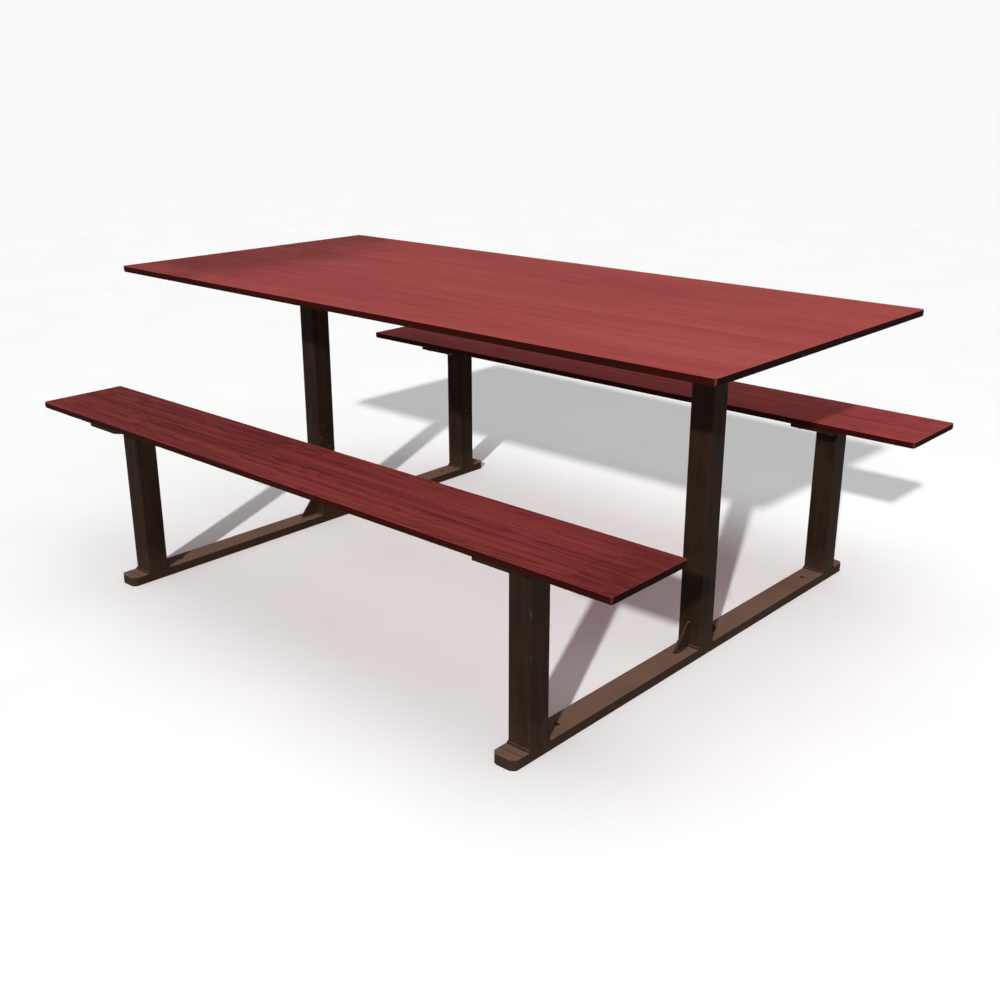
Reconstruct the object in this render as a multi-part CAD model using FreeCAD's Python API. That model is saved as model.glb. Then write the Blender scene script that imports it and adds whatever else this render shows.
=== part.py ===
# Picnic table with two fixed benches: three thin panels bolted to two welded steel frames.
# Millimetres. X runs along the table, Y from the front bench to the back bench, Z is up.
# The origin lies on the floor under the middle of the tabletop.
import FreeCAD, Part
import math
import os

# Tabletop and benches
TABLE_LENGTH = 1810.0
TABLE_WIDTH = 825.0
TABLE_HEIGHT = 750.0
BENCH_LENGTH = 1800.0
BENCH_WIDTH = 220.0
BENCH_HEIGHT = 438.0
BENCH_Y = 568.0              # middle of a bench, out from the middle of the table
PANEL_THICKNESS = 16.0
PANEL_CORNER = 8.0           # radius of a panel's corners, seen from above
TOP_EASE = 1.5               # rounding of a panel's top edge
BOTTOM_EASE = 5.0            # rounding of a panel's bottom edge

# Frames
FRAME_X = 638.0              # middle of a frame, out from the middle of the table
POST_SIZE = 56.0
POST_WALL = 3.0
POST_CORNER = 4.0
BENCH_POST_Y = 575.0
RAIL_LENGTH = 1300.0
RAIL_WIDTH = 60.0
RAIL_HEIGHT = 23.0
RAIL_WALL = 3.0
RAIL_CORNER = 3.0
RAIL_END_LENGTH = 24.0       # solid end outside the hollow rail
RAIL_END_RADIUS = 18.0
RAIL_SPIGOT_LENGTH = 18.0    # the part of a rail end inside the rail
SPIGOT_GAP = 0.3

# Top plates and gussets
PLATE_THICKNESS = 8.0
PLATE_LENGTH_X = 116.0
BENCH_PLATE_Y = 208.0
TABLE_PLATE_Y = 700.0
PLATE_CORNER = 8.0
GUSSET_THICKNESS = 5.0
FOOT_GUSSET_REACH = 54.0
FOOT_GUSSET_RISE = 60.0
TOP_GUSSET_REACH = 180.0
TOP_GUSSET_DROP = 60.0
GUSSET_COPE = 7.0            # cut corner that clears the weld
GUSSET_NOSE = 6.0            # blunt end of each leg

# Anchor holes for M10 ground anchors
ANCHOR_Y = 488.0
ANCHOR_HOLE_R = 5.5
SLEEVE_R = 9.0

# M8 bolts, washers and inserts
BOLT_X = 40.0                # out from the middle of a plate
BENCH_BOLT_Y = 80.0          # out from the middle of a bench
TABLE_BOLT_YS = (130.0, 320.0)
BOLT_R = 4.0
BOLT_HOLE_R = 4.5
BOLT_HEAD_ACROSS = 13.0      # across the flats
BOLT_HEAD_HEIGHT = 5.3
HEAD_DOME_R = 30.0           # sphere that trims the corners of a head
HEAD_FLAT_R = 5.0            # flat middle of a head
BOLT_LENGTH = 20.0
WASHER_R = 8.0
WASHER_THICKNESS = 1.6
INSERT_R = 6.0
INSERT_BORE_R = 4.1
INSERT_DEPTH = 12.0

SIDES = {"left": -1, "right": 1}
ENDS = {"front": -1, "back": 1}
TABLE_UNDERSIDE = TABLE_HEIGHT - PANEL_THICKNESS
BENCH_UNDERSIDE = BENCH_HEIGHT - PANEL_THICKNESS
TABLE_POST_TOP = TABLE_UNDERSIDE - PLATE_THICKNESS
BENCH_POST_TOP = BENCH_UNDERSIDE - PLATE_THICKNESS


def rounded_block(size_x, size_y, size_z, radius, centre_x, centre_y, bottom):
    """A block standing on the height bottom, with its four upright edges rounded."""
    corner = FreeCAD.Vector(centre_x - size_x / 2, centre_y - size_y / 2, bottom)
    block = Part.makeBox(size_x, size_y, size_z, corner)
    upright = [edge for edge in block.Edges if is_upright(edge)]
    return block.makeFillet(radius, upright)


def is_upright(edge):
    """True for a straight edge that runs along Z."""
    start = edge.Vertexes[0].Point
    end = edge.Vertexes[-1].Point
    return abs(start.z - end.z) > 1e-6 and math.hypot(start.x - end.x, start.y - end.y) < 1e-6


def level_edges(solid, height):
    """The edges of a solid that lie flat at one height."""
    return [edge for edge in solid.Edges if all(abs(v.Z - height) < 1e-6 for v in edge.Vertexes)]


def cylinder(radius, length, x, y, bottom):
    """An upright cylinder."""
    return Part.makeCylinder(radius, length, FreeCAD.Vector(x, y, bottom))


def panel(length, width, centre_y, underside, insert_spots):
    """A flat slab with rounded corners, eased edges and blind holes for the inserts."""
    slab = rounded_block(length, width, PANEL_THICKNESS, PANEL_CORNER, 0, centre_y, underside)
    slab = slab.makeFillet(TOP_EASE, level_edges(slab, underside + PANEL_THICKNESS))
    slab = slab.makeFillet(BOTTOM_EASE, level_edges(slab, underside))
    holes = [cylinder(INSERT_R, INSERT_DEPTH, x, y, underside) for x, y in insert_spots]
    return slab.cut(holes)


def hollow_post(x, y, top):
    """A square hollow post from the rail's top to the underside of its plate."""
    height = top - RAIL_HEIGHT
    outside = rounded_block(POST_SIZE, POST_SIZE, height, POST_CORNER, x, y, RAIL_HEIGHT)
    bore = POST_SIZE - 2 * POST_WALL
    bore_corner = POST_CORNER - POST_WALL
    return outside.cut(rounded_block(bore, bore, height, bore_corner, x, y, RAIL_HEIGHT))


def rail_bar(width, height, corner, length, x, centre_y):
    """A bar along Y with its four long edges rounded, centred at half the rail's height."""
    bar = rounded_block(width, height, length, corner, 0, 0, -length / 2)
    bar.rotate(FreeCAD.Vector(0, 0, 0), FreeCAD.Vector(1, 0, 0), 90)
    bar.translate(FreeCAD.Vector(x, centre_y, RAIL_HEIGHT / 2))
    return bar


def ground_rail(x):
    """The hollow rail on the floor, drilled through for two ground anchors."""
    length = RAIL_LENGTH - 2 * RAIL_END_LENGTH
    outside = rail_bar(RAIL_WIDTH, RAIL_HEIGHT, RAIL_CORNER, length, x, 0)
    bore = rail_bar(RAIL_WIDTH - 2 * RAIL_WALL, RAIL_HEIGHT - 2 * RAIL_WALL, 0.5, length, x, 0)
    holes = [cylinder(ANCHOR_HOLE_R, RAIL_HEIGHT, x, end * ANCHOR_Y, 0) for end in ENDS.values()]
    return outside.cut([bore] + holes)


def rail_end(x, end):
    """The solid end of a rail, rounded in plan, with a spigot inside the rail."""
    joint_y = RAIL_LENGTH / 2 - RAIL_END_LENGTH
    middle_y = joint_y + RAIL_END_LENGTH / 2
    bar = rail_bar(RAIL_WIDTH, RAIL_HEIGHT, RAIL_CORNER, RAIL_END_LENGTH, x, end * middle_y)
    plan_length = 2 * RAIL_END_LENGTH
    plan = rounded_block(RAIL_WIDTH, plan_length, RAIL_HEIGHT, RAIL_END_RADIUS, x, end * joint_y, 0)
    spigot_width = RAIL_WIDTH - 2 * (RAIL_WALL + SPIGOT_GAP)
    spigot_height = RAIL_HEIGHT - 2 * (RAIL_WALL + SPIGOT_GAP)
    spigot_y = joint_y - RAIL_SPIGOT_LENGTH / 2
    spigot = rail_bar(spigot_width, spigot_height, 1.0, RAIL_SPIGOT_LENGTH, x, end * spigot_y)
    return bar.common(plan).fuse(spigot).removeSplitter()


def anchor_sleeves():
    """Four tubes between the rail walls, so that an anchor can't crush the rail."""
    height = RAIL_HEIGHT - 2 * RAIL_WALL
    sleeves = []
    for side in SIDES.values():
        for end in ENDS.values():
            tube = cylinder(SLEEVE_R, height, side * FRAME_X, end * ANCHOR_Y, RAIL_WALL)
            bore = cylinder(ANCHOR_HOLE_R, height, side * FRAME_X, end * ANCHOR_Y, RAIL_WALL)
            sleeves.append(tube.cut(bore))
    return Part.makeCompound(sleeves)


def top_plate(x, size_y, centre_y, underside, spots):
    """A flat plate on top of a post, drilled for the bolts."""
    plate = rounded_block(PLATE_LENGTH_X, size_y, PLATE_THICKNESS, PLATE_CORNER, x, centre_y, underside)
    holes = [cylinder(BOLT_HOLE_R, PLATE_THICKNESS, u, v, underside) for u, v in spots]
    return plate.cut(holes)


def gusset(x, end, corner_z, reach, rise):
    """A triangular web against a table post, with blunt noses and a coped inner corner.

    It reaches out along Y and rises along Z from its inner corner; a negative rise hangs down.
    """
    up = math.copysign(1, rise)
    outline = [
        (GUSSET_COPE, 0),
        (reach, 0),
        (reach, up * GUSSET_NOSE),
        (GUSSET_NOSE, rise),
        (0, rise),
        (0, up * GUSSET_COPE),
    ]
    start_x = x - GUSSET_THICKNESS / 2
    face_y = POST_SIZE / 2
    points = [FreeCAD.Vector(start_x, end * (face_y + out), corner_z + z) for out, z in outline]
    face = Part.Face(Part.makePolygon(points + points[:1]))
    return face.extrude(FreeCAD.Vector(GUSSET_THICKNESS, 0, 0))


def bolt_spots(x, centre_y, offsets_y):
    """Bolt places on one plate: both sides of the post, at each distance from the plate's middle."""
    return [(x + i * BOLT_X, centre_y + j * y) for y in offsets_y for i in (-1, 1) for j in (-1, 1)]


def bolts(spots, plate_underside):
    """Hexagon bolts from below; the head bears on a washer."""
    head_top = plate_underside - WASHER_THICKNESS
    head_bottom = head_top - BOLT_HEAD_HEIGHT
    head_r = BOLT_HEAD_ACROSS / math.sqrt(3)
    angles = [math.radians(60 * turn) for turn in range(7)]
    dome_z = head_bottom + math.sqrt(HEAD_DOME_R**2 - HEAD_FLAT_R**2)
    solids = []
    for x, y in spots:
        ring = [(x + head_r * math.cos(a), y + head_r * math.sin(a), head_bottom) for a in angles]
        outline = Part.makePolygon([FreeCAD.Vector(*point) for point in ring])
        head = Part.Face(outline).extrude(FreeCAD.Vector(0, 0, BOLT_HEAD_HEIGHT))
        dome = Part.makeSphere(HEAD_DOME_R, FreeCAD.Vector(x, y, dome_z))
        solids.append(head.common(dome).fuse(cylinder(BOLT_R, BOLT_LENGTH, x, y, head_top)))
    return Part.makeCompound(solids)


def rings(spots, radius, bore, height, bottom):
    """Washers or inserts: one upright ring at each spot."""
    return Part.makeCompound(
        [cylinder(radius, height, x, y, bottom).cut(cylinder(bore, height, x, y, bottom)) for x, y in spots]
    )


def fastening(parts, panel_name, spots, underside):
    """The inserts, washers and bolts of one panel, each kind in one node."""
    plate_underside = underside - PLATE_THICKNESS
    washer_bottom = plate_underside - WASHER_THICKNESS
    parts[panel_name + "_inserts"] = rings(spots, INSERT_R, INSERT_BORE_R, INSERT_DEPTH, underside)
    parts[panel_name + "_washers"] = rings(spots, WASHER_R, BOLT_HOLE_R, WASHER_THICKNESS, washer_bottom)
    parts[panel_name + "_bolts"] = bolts(spots, plate_underside)


def table_spots(x):
    """The bolt places on one table plate."""
    return bolt_spots(x, 0, TABLE_BOLT_YS)


def bench_spots(x, end):
    """The bolt places on one bench plate."""
    return bolt_spots(x, end * BENCH_Y, (BENCH_BOLT_Y,))


def frame(parts, side_name, side):
    """One welded frame: rail, rail ends, three posts, three plates and the gussets."""
    x = side * FRAME_X
    parts["ground_rail_" + side_name] = ground_rail(x)
    parts["table_post_" + side_name] = hollow_post(x, 0, TABLE_POST_TOP)
    parts["table_plate_" + side_name] = top_plate(x, TABLE_PLATE_Y, 0, TABLE_POST_TOP, table_spots(x))
    for end_name, end in ENDS.items():
        place = side_name + "_" + end_name
        spots = bench_spots(x, end)
        parts["rail_end_" + place] = rail_end(x, end)
        parts["bench_post_" + place] = hollow_post(x, end * BENCH_POST_Y, BENCH_POST_TOP)
        parts["bench_plate_" + place] = top_plate(x, BENCH_PLATE_Y, end * BENCH_Y, BENCH_POST_TOP, spots)
        parts["foot_gusset_" + place] = gusset(x, end, RAIL_HEIGHT, FOOT_GUSSET_REACH, FOOT_GUSSET_RISE)
        parts["top_gusset_" + place] = gusset(x, end, TABLE_POST_TOP, TOP_GUSSET_REACH, -TOP_GUSSET_DROP)


def panels(parts):
    """The tabletop and the two benches with their fastenings."""
    xs = [side * FRAME_X for side in SIDES.values()]
    spots = [spot for x in xs for spot in table_spots(x)]
    parts["tabletop"] = panel(TABLE_LENGTH, TABLE_WIDTH, 0, TABLE_UNDERSIDE, spots)
    fastening(parts, "tabletop", spots, TABLE_UNDERSIDE)
    for end_name, end in ENDS.items():
        spots = [spot for x in xs for spot in bench_spots(x, end)]
        name = "bench_" + end_name
        parts[name] = panel(BENCH_LENGTH, BENCH_WIDTH, end * BENCH_Y, BENCH_UNDERSIDE, spots)
        fastening(parts, name, spots, BENCH_UNDERSIDE)


def main():
    parts = {}
    panels(parts)
    for side_name, side in SIDES.items():
        frame(parts, side_name, side)
    parts["anchor_sleeves"] = anchor_sleeves()
    os.makedirs("parts", exist_ok=True)
    for name, shape in parts.items():
        if not shape.isValid():
            raise ValueError(name + " is not a valid solid")
        shape.exportStep("parts/" + name + ".step")
        print(name, len(shape.Solids), round(shape.Volume / 1000, 1), "cm3")


main()
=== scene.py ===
# Picnic table: finishes, welds and studio for the packed table, laid out as an add-on.
# Metres throughout. X runs along the table, Y from the front bench to the back one, Z is up.
import math

import bpy
import numpy as np
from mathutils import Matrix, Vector


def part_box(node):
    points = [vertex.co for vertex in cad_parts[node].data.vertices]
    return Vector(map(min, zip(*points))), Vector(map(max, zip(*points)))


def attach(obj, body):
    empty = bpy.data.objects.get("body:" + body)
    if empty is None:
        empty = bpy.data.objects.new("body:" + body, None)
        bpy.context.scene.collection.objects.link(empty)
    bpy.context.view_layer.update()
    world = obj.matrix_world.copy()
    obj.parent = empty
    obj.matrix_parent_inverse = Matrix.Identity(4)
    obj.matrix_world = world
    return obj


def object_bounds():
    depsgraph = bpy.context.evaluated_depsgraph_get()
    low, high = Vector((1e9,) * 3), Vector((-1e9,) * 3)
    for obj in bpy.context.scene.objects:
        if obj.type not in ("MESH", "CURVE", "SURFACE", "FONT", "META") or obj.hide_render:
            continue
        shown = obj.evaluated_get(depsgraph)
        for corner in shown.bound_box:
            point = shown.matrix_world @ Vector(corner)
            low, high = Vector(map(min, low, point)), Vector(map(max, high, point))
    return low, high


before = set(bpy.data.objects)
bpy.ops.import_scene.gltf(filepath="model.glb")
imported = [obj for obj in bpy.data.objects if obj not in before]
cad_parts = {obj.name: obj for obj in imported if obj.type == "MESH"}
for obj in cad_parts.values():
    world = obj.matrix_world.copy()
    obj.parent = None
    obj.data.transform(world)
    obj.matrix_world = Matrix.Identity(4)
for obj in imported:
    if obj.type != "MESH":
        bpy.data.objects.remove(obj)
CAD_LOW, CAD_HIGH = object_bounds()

bl_info = {
    "name": "Picnic Table Finish",
    "version": (1, 0, 0),
    "blender": (4, 5, 0),
    "location": "View3D > Sidebar > Picnic Table",
    "description": "Stained timber, painted steel, weld beads and a plain studio for a picnic table",
    "category": "Object",
}

ROOT = "root"                # the one body, which every piece rides on
SIDES = ("left", "right")
ENDS = ("front", "back")
PANELS = ("tabletop", "bench_front", "bench_back")
PLACES = tuple(side + "_" + end for side in SIDES for end in ENDS)
BENCH_POSTS = tuple("bench_post_" + place for place in PLACES)
TABLE_POSTS = tuple("table_post_" + side for side in SIDES)
POSTS = BENCH_POSTS + TABLE_POSTS
RAILS = tuple("ground_rail_" + side for side in SIDES)
RAIL_ENDS = tuple("rail_end_" + place for place in PLACES)
BENCH_PLATES = tuple("bench_plate_" + place for place in PLACES)
TABLE_PLATES = tuple("table_plate_" + side for side in SIDES)
FOOT_GUSSETS = tuple("foot_gusset_" + place for place in PLACES)
TOP_GUSSETS = tuple("top_gusset_" + place for place in PLACES)
STEELWORK = RAILS + RAIL_ENDS + POSTS + BENCH_PLATES + TABLE_PLATES + FOOT_GUSSETS + TOP_GUSSETS

POST_CORNER = 0.004          # radius of a post's upright corners
RAIL_CORNER = 0.003          # radius of a rail's long edges
GUSSET_COPE = 0.007          # cut corner of a gusset, where no bead runs
SEAM_HEIGHT = 0.0003         # height of the ground-down bead over a rail's joint
SEAM_SHARE = 0.3             # half its width, as a share of a fillet bead's leg
STEPS_PER_RIPPLE = 6         # sections of a bead from one ripple to the next
SPATTER_START = 0.004        # gap between a foot bead and the lowest drop of spatter
SPATTER_REACH = 0.055        # height of the band that holds the spatter
DROP_RINGS = 4               # rings of points on a drop of spatter
DROP_SIDES = 8               # points on each of its rings
FLOOR_HALF = 30.0            # half the side of the floor
SIDE_PANEL_SIZE = 1.6        # side of the soft panel


# Sizes and colours that a user may change

class PicnicTimber(bpy.types.PropertyGroup):
    """Colours and stave sizes of the three panels."""

    top_light: bpy.props.FloatVectorProperty(
        name="Tabletop, light", description="Stain on the pale staves of the tabletop",
        subtype="COLOR", size=3, min=0, max=1, default=(0.320, 0.057, 0.054),
    )
    top_dark: bpy.props.FloatVectorProperty(
        name="Tabletop, dark", description="Stain in the dark grain of the tabletop",
        subtype="COLOR", size=3, min=0, max=1, default=(0.205, 0.029, 0.029),
    )
    bench_light: bpy.props.FloatVectorProperty(
        name="Bench, light", description="Stain on the pale staves of the benches",
        subtype="COLOR", size=3, min=0, max=1, default=(0.200, 0.031, 0.031),
    )
    bench_dark: bpy.props.FloatVectorProperty(
        name="Bench, dark", description="Stain in the dark grain of the benches",
        subtype="COLOR", size=3, min=0, max=1, default=(0.060, 0.0068, 0.0072),
    )
    # Long edges and End grain are painted shade: far darker colours on the panels' upright sides, darkest
    # on the ends, standing in for their shade.
    side_painted_shade: bpy.props.FloatVectorProperty(
        name="Long edges", description="Sealed long edges of the panels",
        subtype="COLOR", size=3, min=0, max=1, default=(0.021, 0.0016, 0.0010),
    )
    end_grain: bpy.props.FloatVectorProperty(
        name="End grain", description="Sealed ends of the panels, where the stain soaks in deepest",
        subtype="COLOR", size=3, min=0, max=1, default=(0.0080, 0.0005, 0.0002),
    )
    # Back bench is painted light: a lighter copy of the bench colours that stands in for the brighter light
    # on the back bench.
    back_painted_lighter: bpy.props.FloatProperty(
        name="Back bench", description="How many times paler the back bench is than the front one",
        min=0.5, max=2, default=1.50,
    )
    # Dark end darkens the colour towards one end of a panel.
    end_darker: bpy.props.FloatProperty(
        name="Dark end", description="Share by which the stain darkens towards one end of a panel",
        subtype="FACTOR", min=0, max=1, default=0.40,
    )
    stave_width: bpy.props.FloatProperty(
        name="Stave width", description="Width of one glued stave",
        unit="LENGTH", min=0.01, default=0.055,
    )
    stave_length: bpy.props.FloatProperty(
        name="Stave length", description="Length of one glued stave",
        unit="LENGTH", min=0.1, default=0.95,
    )


class PicnicSteel(bpy.types.PropertyGroup):
    """Colours of the frames and of the fastenings."""

    paint: bpy.props.FloatVectorProperty(
        name="Paint", description="Dark brown paint on the frames",
        subtype="COLOR", size=3, min=0, max=1, default=(0.0140, 0.0070, 0.0034),
    )
    # Worn paint is partly paint rubbed thin along the edges and partly a painted highlight there.
    paint_worn_and_highlight: bpy.props.FloatVectorProperty(
        name="Worn paint", description="Paint rubbed thin along the edges",
        subtype="COLOR", size=3, min=0, max=1, default=(0.060, 0.042, 0.030),
    )
    # Bare spots colours the chips, which are real, and also a painted highlight along the posts' upright
    # corners.
    chip_and_highlight: bpy.props.FloatVectorProperty(
        name="Bare spots", description="Chips and rubbed upright corners, down to the primer",
        subtype="COLOR", size=3, min=0, max=1, default=(0.190, 0.150, 0.105),
    )
    # Dust is partly a painted sheen: on faces that look up it lifts the paint as a sheen would; low down it
    # is dust alone.
    dust: bpy.props.FloatVectorProperty(
        name="Dust", description="Dry dust on faces that look up and in low splashes",
        subtype="COLOR", size=3, min=0, max=1, default=(0.184, 0.108, 0.078),
    )
    zinc: bpy.props.FloatVectorProperty(
        name="Zinc", description="Black zinc plating of bolts, washers and sleeves",
        subtype="COLOR", size=3, min=0, max=1, default=(0.085, 0.080, 0.075),
    )
    brass: bpy.props.FloatVectorProperty(
        name="Brass", description="Threaded inserts",
        subtype="COLOR", size=3, min=0, max=1, default=(0.72, 0.50, 0.22),
    )


class PicnicWelds(bpy.types.PropertyGroup):
    """Sizes of the weld beads."""

    leg: bpy.props.FloatProperty(
        name="Bead leg", description="Leg of a fillet bead on a flat face",
        unit="LENGTH", min=0.001, default=0.0045,
    )
    gusset_leg: bpy.props.FloatProperty(
        name="Gusset bead leg", description="Leg of the beads along the gussets",
        unit="LENGTH", min=0.001, default=0.0032,
    )
    ripple_pitch: bpy.props.FloatProperty(
        name="Ripple pitch", description="Distance from one ripple of a bead to the next",
        unit="LENGTH", min=0.001, default=0.0032,
    )
    ripple_depth: bpy.props.FloatProperty(
        name="Ripple depth", description="Share of the leg by which a ripple stands up",
        subtype="FACTOR", min=0, max=0.5, default=0.16,
    )
    spatter_count: bpy.props.IntProperty(
        name="Spatter", description="Drops of spatter near each post's foot",
        min=0, max=200, default=26,
    )
    spatter_radius: bpy.props.FloatProperty(
        name="Spatter radius", description="Radius of the largest drop",
        unit="LENGTH", min=0.0002, default=0.0013,
    )
    seed: bpy.props.IntProperty(
        name="Seed", description="Start of the random numbers", min=0, default=7,
    )


class PicnicStudio(bpy.types.PropertyGroup):
    """Camera, lamps and floor."""

    camera_place: bpy.props.FloatVectorProperty(
        name="Camera", description="Place of the camera",
        subtype="TRANSLATION", unit="LENGTH", size=3, default=(1.95167, -2.11860, 1.24250),
    )
    camera_pitch: bpy.props.FloatProperty(
        name="Pitch", description="Angle by which the camera looks down",
        subtype="ANGLE", default=0.34494,
    )
    camera_yaw: bpy.props.FloatProperty(
        name="Yaw", description="Turn of the camera from the Y axis towards the left",
        subtype="ANGLE", default=0.73178,
    )
    lens: bpy.props.FloatProperty(
        name="Focal length", description="Focal length in millimetres on a 36 mm sensor",
        min=10, default=43.571,
    )
    key_slope: bpy.props.FloatVectorProperty(
        name="Key slope", description="How far the key light travels in X and Y for each metre down",
        size=2, default=(-0.85, 1.80),
    )
    key_strength: bpy.props.FloatProperty(
        name="Key", description="Strength of the key light", min=0, default=3.8,
    )
    key_softness: bpy.props.FloatProperty(
        name="Key softness", description="Angle that the key light fills, seen from the table",
        subtype="ANGLE", default=math.radians(1.6),
    )
    overhead_strength: bpy.props.FloatProperty(
        name="Overhead", description="Strength of the wide light from above", min=0, default=0.90,
    )
    overhead_softness: bpy.props.FloatProperty(
        name="Overhead softness", description="Angle that the wide light fills, seen from the table",
        subtype="ANGLE", default=math.radians(80),
    )
    side_power: bpy.props.FloatProperty(
        name="Side panel", description="Power of the soft panel above the right end in watts",
        min=0, default=8,
    )
    fill: bpy.props.FloatProperty(
        name="Fill", description="Strength of the even light from all round", min=0, default=0.24,
    )
    backdrop: bpy.props.FloatProperty(
        name="Backdrop", description="Brightness of the backdrop", min=0, max=1, default=0.948,
    )
    floor_colour: bpy.props.FloatVectorProperty(
        name="Floor", description="Colour of the floor",
        subtype="COLOR", size=3, min=0, max=1, default=(0.92, 0.92, 0.915),
    )


# Node trees

class Graph:
    """A node tree with short ways to add nodes and to join them."""

    def __init__(self, tree):
        self.tree = tree
        self.count = 0

    def add(self, kind, inputs=None, **settings):
        """Adds a node; inputs maps a socket's name or number to a value or to another node's socket."""
        node = self.tree.nodes.new(kind)
        node.location = (200 * (self.count % 8), -220 * (self.count // 8))
        self.count += 1
        for name, value in settings.items():
            setattr(node, name, value)
        for socket, value in (inputs or {}).items():
            self.feed(node.inputs[socket], value)
        return node

    def feed(self, socket, value):
        """Joins another socket to this one, or sets its value."""
        if isinstance(value, bpy.types.NodeSocket):
            self.tree.links.new(value, socket)
        else:
            socket.default_value = value

    def math(self, operation, first, second=0.0, third=0.0, clamp=False):
        """One step of arithmetic on one to three numbers."""
        inputs = {0: first, 1: second, 2: third}
        return self.add("ShaderNodeMath", inputs, operation=operation, use_clamp=clamp).outputs[0]

    def mean(self, first, second, share):
        """A number between two numbers."""
        return self.add("ShaderNodeMix", {0: share, 2: first, 3: second}, data_type="FLOAT").outputs[0]

    def blend(self, first, second, share, way="MIX"):
        """A colour between two colours."""
        settings = {"data_type": "RGBA", "blend_type": way}
        return self.add("ShaderNodeMix", {0: share, 6: first, 7: second}, **settings).outputs[2]

    def remap(self, value, low, high, to_low=0.0, to_high=1.0, smooth=True):
        """Carries a number from one range to another and keeps it inside."""
        way = "SMOOTHSTEP" if smooth else "LINEAR"
        inputs = {0: value, 1: low, 2: high, 3: to_low, 4: to_high}
        return self.add("ShaderNodeMapRange", inputs, interpolation_type=way).outputs[0]

    def vector(self, operation, first, second=(0, 0, 0), scale=1.0):
        """One step of arithmetic on positions or colours."""
        inputs = {0: first, 1: second, 3: scale}
        return self.add("ShaderNodeVectorMath", inputs, operation=operation).outputs[0]

    def stretch(self, vector, scale):
        """Scales a position along each axis."""
        return self.add("ShaderNodeMapping", {0: vector, 3: scale}).outputs[0]

    def noise(self, vector, scale, detail=2.0, roughness=0.5, distortion=0.0):
        """A smooth random number between 0 and 1 at each position."""
        inputs = {"Vector": vector, "Scale": scale, "Detail": detail}
        inputs.update({"Roughness": roughness, "Distortion": distortion})
        return self.add("ShaderNodeTexNoise", inputs).outputs[0]


def new_group(name, inputs, outputs):
    """An empty shader node group with named sockets: its graph, its inputs and its output node."""
    tree = bpy.data.node_groups.new(name, "ShaderNodeTree")
    for title, kind, default in inputs:
        socket = tree.interface.new_socket(title, in_out="INPUT", socket_type="NodeSocket" + kind)
        if default is not None:
            socket.default_value = default
    for title, kind in outputs:
        tree.interface.new_socket(title, in_out="OUTPUT", socket_type="NodeSocket" + kind)
    graph = Graph(tree)
    entry = graph.add("NodeGroupInput")
    leave = graph.add("NodeGroupOutput")
    return graph, entry.outputs, leave


def stave_group():
    """Glued staves: each gets its own tone and its own piece of timber, with a fine joint between.

    The row is the whole part of Y over the width. Each row is slid along X by a random share, and the
    whole part of X over the length numbers the stave in its row. The joint is where the distance to the
    nearest side of the stave falls under half a millimetre.
    """
    graph, given, leave = new_group(
        "Glued staves",
        [
            ("Position", "Vector", None),
            ("Width", "Float", 0.05),
            ("Length", "Float", 0.5),
            ("Seed", "Float", 0.0),
        ],
        [("Tone", "Float"), ("Timber", "Vector"), ("Joint", "Float")],
    )
    axes = graph.add("ShaderNodeSeparateXYZ", {0: given["Position"]}).outputs
    across = graph.math("DIVIDE", axes["Y"], given["Width"])
    row = graph.math("FLOOR", across)
    key = graph.math("ADD", row, given["Seed"])
    slide = graph.add("ShaderNodeTexWhiteNoise", {"W": key}, noise_dimensions="1D").outputs[0]
    along = graph.math("ADD", graph.math("DIVIDE", axes["X"], given["Length"]), slide)
    stave = graph.math("FLOOR", along)
    cell = graph.add("ShaderNodeCombineXYZ", {0: row, 1: stave, 2: given["Seed"]}).outputs[0]
    random = graph.add("ShaderNodeTexWhiteNoise", {"Vector": cell}, noise_dimensions="3D").outputs
    side = graph.math("PINGPONG", across, 0.5)
    side = graph.math("MULTIPLY", side, given["Width"])
    butt = graph.math("MULTIPLY", graph.math("PINGPONG", along, 0.5), given["Length"])
    nearest = graph.math("MINIMUM", side, butt)
    joint = graph.remap(nearest, 0.0, 0.0006, 1.0, 0.0)
    shift = graph.vector("MULTIPLY", random[1], (9.0, 9.0, 9.0))
    moved = graph.vector("ADD", given["Position"], shift)
    graph.feed(leave.inputs["Tone"], random[0])
    graph.feed(leave.inputs["Timber"], moved)
    graph.feed(leave.inputs["Joint"], joint)
    return graph.tree


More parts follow.
